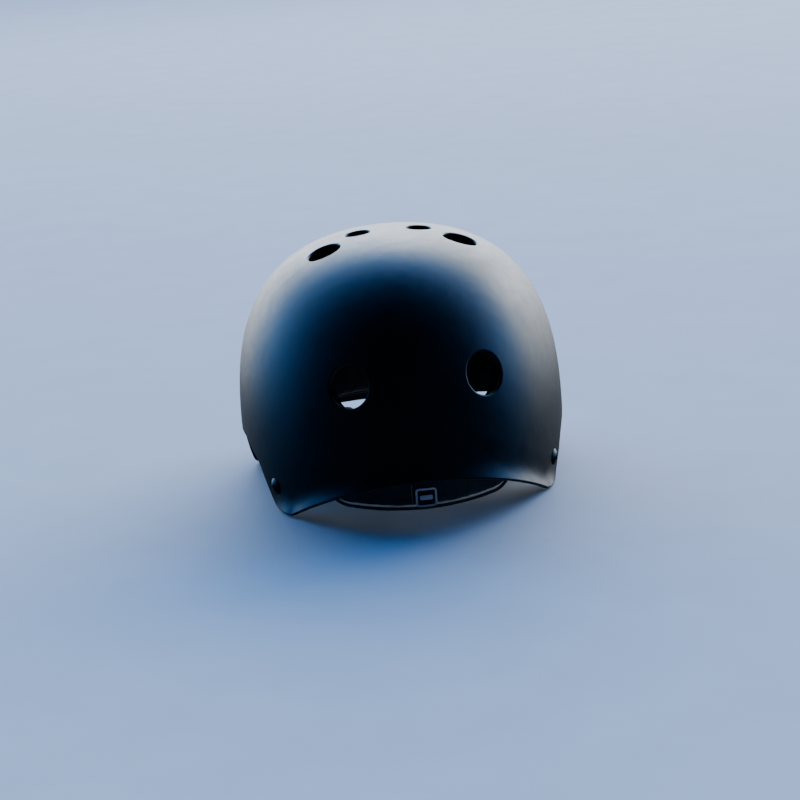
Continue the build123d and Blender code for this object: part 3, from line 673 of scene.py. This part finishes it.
for end, azimuth, polar in ANCHORS:
    toward_rear = 1 if end == "rear" else -1
    for side_name, side, turned in (("left", 1, azimuth), ("right", -1, 180 - azimuth)):
        place = dome_frame(turned, polar)
        out = (place.to_3x3() @ Vector((0, 0, 1))).normalized()
        climb = Vector((0, -0.75 * toward_rear, 0.66))
        climb = (climb - out * climb.dot(out)).normalized()
        base = place.translation - out * (STRAP_DEPTH + STRAP_THICK / 2)
        peel = base + climb * STRAP_END
        slot_y = HARNESS_Y + toward_rear * SIDE_SLOT_Y
        flat_part = [base + climb * STRAP_END * (step / 6) for step in range(-6, 6)]
        bend = Vector((side * (SIDE_SLOT_X + STRAP_BOW), slot_y + toward_rear * STRAP_SPREAD, STRAP_BEND_Z))
        foot = Vector((side * SIDE_SLOT_X, slot_y, STRAP_FOOT_Z))
        curved = spline_path([peel, base + climb * STRAP_CLIMB - out * STRAP_LEAN, bend, foot],
                             climb, Vector((0, 0, -1)))
        path = flat_part + curved
        across = turned_widths(path, out.cross(climb) * side, Vector((side * toward_rear, 0, 0)),
                               len(flat_part))
        strap = ribbon(f"{end}_webbing_{side_name}", path, across, STRAP_WIDTH, WEBBING)
        ride(strap, "root", "webbing", f"{end}_strap_{side_name}")
        inner = -out
        spots = []
        for shift in (-TACK_OFFSET, TACK_OFFSET):
            for face in (1, -1):
                spots += tack_spots(base + climb * shift + inner * face * STRAP_THICK / 2,
                                    climb, out.cross(climb), inner * face)
        tack = thread_run(f"{end}_bar_tacks_{side_name}", spots, 1.6 * MM, 0.45 * MM, THREAD)
        ride(tack, "root", "webbing")


def folded_strap(name, stops, radii):
    """Strap that stands on its slots in a fold, its width along Y."""
    flat = rounded_path([Vector((x * MM, z * MM)) for x, z in stops], radii)
    path = []
    for before, after in zip(flat, flat[1:]):
        count = max(1, round((after - before).length / (1.5 * MM)))
        path += [before.lerp(after, step / count) for step in range(count)]
    path.append(flat[-1])
    points = [Vector((point.x, HARNESS_Y, point.y)) for point in path]
    return ribbon(name, points, [Vector((0, 1, 0))] * len(points), STRAP_WIDTH, WEBBING)


right_chin = folded_strap("chin_webbing_right",
                          [(-50.5, 1.2), (-50.5, 12), (-47.5, 45), (-32.5, 45), (-29.5, 12), (-29.5, 1.2)],
                          [20 * MM, 7 * MM, 7 * MM, 20 * MM])
ride(right_chin, "root", "webbing", "chin_strap_right")

# The tail rises beside the leg of the left chin strap, one layer pitch away (x, z in millimetres)
LEG_FOOT = Vector((23.5, 12.0))
LEG_HEAD = Vector((31.0, 44.0))
LEG_ALONG = (LEG_HEAD - LEG_FOOT).normalized()
LEG_ASIDE = Vector((-LEG_ALONG.y, LEG_ALONG.x))
TAIL_PITCH, TAIL_ADVANCE, TAIL_LENGTH = 2.1, 2, 25
tail_start = LEG_FOOT + LEG_ASIDE * TAIL_PITCH + LEG_ALONG * TAIL_ADVANCE
tail_end = LEG_FOOT + LEG_ASIDE * TAIL_PITCH + LEG_ALONG * TAIL_LENGTH
left_chin = folded_strap("chin_webbing_left",
                         [(50.5, 1.2), (50.5, 12), (45.5, 46), (31, 45), (23.5, 12), (21.5, 8), (21.5, 1.7),
                          (17.0, 1.7), (17.0, 8.5), tuple(tail_start), tuple(tail_end)],
                         [radius * MM for radius in (20, 6, 6, 4, 4, 0.9, 0.9, 3, 4)])
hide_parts("chin_strap_left")
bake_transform(left_chin)


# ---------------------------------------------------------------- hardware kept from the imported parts

KEPT = {
    "outer_shell": SHELL_ABS, "foam_liner": FOAM,
    "temple_screws": BLACK_STEEL, "rear_screws": BLACK_STEEL, "anchor_washers": STAINLESS,
    "anchor_nuts": STAINLESS, "lever_pins": STAINLESS, "hook_dots": HOOKS, "strap_keeper": RUBBER,
    "divider_left": ACETAL, "divider_right": ACETAL, "lever_left": ACETAL, "lever_right": ACETAL,
    "buckle_socket": ACETAL, "buckle_plug": ACETAL, "prong_front": ACETAL, "prong_rear": ACETAL,
}
for node, material in KEPT.items():
    for slot in NODES[node].material_slots:
        slot.material = material


# ---------------------------------------------------------------- floor, light and camera

def studio_paint():
    """Matt painted studio floor, pale and even, with a slight unevenness from the roller."""
    material, tree, where = start_material("matt_studio_paint", Roughness=0.75)
    roller = add_node(tree, "ShaderNodeTexNoise", {"Vector": where.outputs["Object"], "Scale": spots_of(60)})
    dress(tree, between(tree, roller.outputs["Fac"], "#dfe1e6", "#e3e5ea"))
    return material


bm = bmesh.new()
FLOOR_DROP, FLOOR_HALF_SPAN = 0.9 * MM, 6.0
bmesh.ops.create_grid(bm, x_segments=8, y_segments=8, size=FLOOR_HALF_SPAN,
                      matrix=Matrix.Translation((0, 0, -FLOOR_DROP)))
floor = new_piece("studio_floor", bm, studio_paint(), smooth=False)
# The dark sky in front stays on the lower shell, where a pale floor would wash it out
floor.visible_glossy = False


def soft_light(name, place, aim, width, height, power, tint):
    """Rectangular soft light at a place, turned toward its aim."""
    lamp = bpy.data.lights.new(name, "AREA")
    lamp.shape = "RECTANGLE"
    lamp.size, lamp.size_y = width, height
    lamp.energy = power
    lamp.color = colour(tint)[:3]
    holder = bpy.data.objects.new(name, lamp)
    holder.location = place
    holder.rotation_euler = (Vector(aim) - Vector(place)).to_track_quat("-Z", "Y").to_euler()
    scene.collection.objects.link(holder)


soft_light("back_sky", (0.3, 3.0, 1.5), (0, 0, 0.1), 3.0, 1.2, 20, "#eef2fa")
soft_light("right_sky", (2.6, 2.2, 1.3), (0, 0, 0.1), 1.4, 1.2, 12, "#eef2fa")

# Sky round the studio: white behind the helmet, deep blue overhead, dark behind the camera and below the
# horizon. The whitening turns it whiter toward both sides, and more so on the right.
SKY = [(0.46, "#010203"), (0.66, "#001a36"), (0.80, "#0357a8"), (0.90, "#4a97dc"), (1.0, "#eef5ff")]
SIDE_WHITENING, RIGHT_WHITENING = 0.2, 0.1
DUSK_START, DUSK_END, DUSK_LEFT = -0.25, 0.15, 0.02
DUSK_COLOUR = "#02060a"
SKY_STRENGTH = 5.4
world = bpy.data.worlds.new("overcast_studio")
scene.world = world
world.use_nodes = True
tree = world.node_tree
direction = add_node(tree, "ShaderNodeTexCoord")
parts = add_node(tree, "ShaderNodeSeparateXYZ", {"Vector": direction.outputs["Generated"]})
backward = add_node(tree, "ShaderNodeMath", {0: parts.outputs["Y"], 1: 0.5, 2: 0.5}, operation="MULTIPLY_ADD")
aside = add_node(tree, "ShaderNodeMath", {0: parts.outputs["X"]}, operation="ABSOLUTE")
sides = add_node(tree, "ShaderNodeMath", {0: aside.outputs[0], 1: SIDE_WHITENING, 2: backward.outputs[0]},
                 operation="MULTIPLY_ADD")
height = add_node(tree, "ShaderNodeMath", {0: parts.outputs["X"], 1: RIGHT_WHITENING, 2: sides.outputs[0]},
                  operation="MULTIPLY_ADD")
ramp = add_node(tree, "ShaderNodeValToRGB", {"Fac": height.outputs[0]})
stops = ramp.color_ramp.elements
stops[0].position, stops[0].color = SKY[0][0], colour(SKY[0][1])
stops[1].position, stops[1].color = SKY[-1][0], colour(SKY[-1][1])
for position, tint in SKY[1:-1]:
    stops.new(position).color = colour(tint)
dusk = add_node(tree, "ShaderNodeMapRange", {"Value": parts.outputs["Z"], "From Min": DUSK_START,
                                             "From Max": DUSK_END, "To Min": DUSK_LEFT})
dimmed = add_node(tree, "ShaderNodeMix", {0: dusk.outputs[0], 6: colour(DUSK_COLOUR),
                                          7: ramp.outputs["Color"]}, data_type="RGBA")
tree.links.new(dimmed.outputs[2], tree.nodes["Background"].inputs["Color"])
tree.nodes["Background"].inputs["Strength"].default_value = SKY_STRENGTH

# ---- Camera: turn about Z, pitch down, roll, distance and framing offsets ----
TURN, PITCH, ROLL = math.radians(5.15), math.radians(15.97), math.radians(4.49)
DISTANCE = 1.58452
ASIDE, ABOVE = -0.0004578, 0.0263527
TARGET = Vector((0.0, CENTRE_Y, 0.0775))
right = Vector((math.cos(TURN), -math.sin(TURN), 0))
back = Vector((-math.sin(TURN) * math.cos(PITCH), -math.cos(TURN) * math.cos(PITCH), math.sin(PITCH)))
up = back.cross(right)
rolled_right = right * math.cos(ROLL) - up * math.sin(ROLL)
rolled_up = right * math.sin(ROLL) + up * math.cos(ROLL)
lens = bpy.data.cameras.new("front_camera")
lens.lens = 103.5
lens.sensor_width = 36
camera = bpy.data.objects.new("front_camera", lens)
camera.matrix_world = (Matrix.Translation(TARGET - rolled_right * ASIDE - rolled_up * ABOVE + back * DISTANCE)
                       @ Matrix((rolled_right, rolled_up, back)).transposed().to_4x4())
scene.collection.objects.link(camera)
scene.camera = camera
